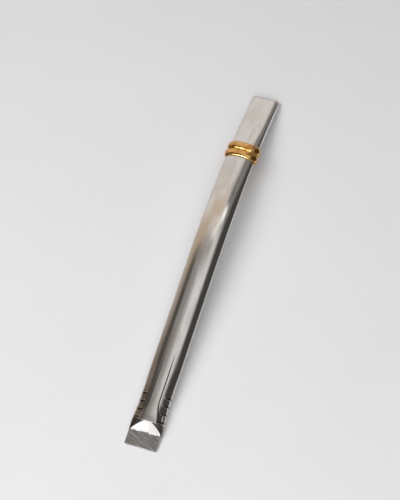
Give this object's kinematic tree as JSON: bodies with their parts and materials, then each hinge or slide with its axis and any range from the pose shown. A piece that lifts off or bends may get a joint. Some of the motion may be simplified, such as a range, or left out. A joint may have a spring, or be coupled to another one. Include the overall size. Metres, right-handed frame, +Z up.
{
  "type": "metal drinking straw with strainer end",
  "caption": "Arched flattened steel drinking straw: open mouthpiece, pair of raised brass rings, oval stem and a pinched strainer blade with saw-cut edge slots.",
  "frame": {"origin": "on the table, under the middle of the straw's length and width, as it lies arched on its mouth and its blade", "axes": "+Y runs along the straw towards the mouth, the blade points to -Y, +Z is up, X is across its width"},
  "size_m": [0.0154, 0.1876, 0.0184],
  "materials": {
    "steel": "polished stainless steel, worn to a satin sheen",
    "brass": "polished brass"
  },
  "bodies": {
    "root": {"straw_tube": "steel", "upper_ring": "brass", "lower_ring": "brass"}
  },
  "joints": []
}
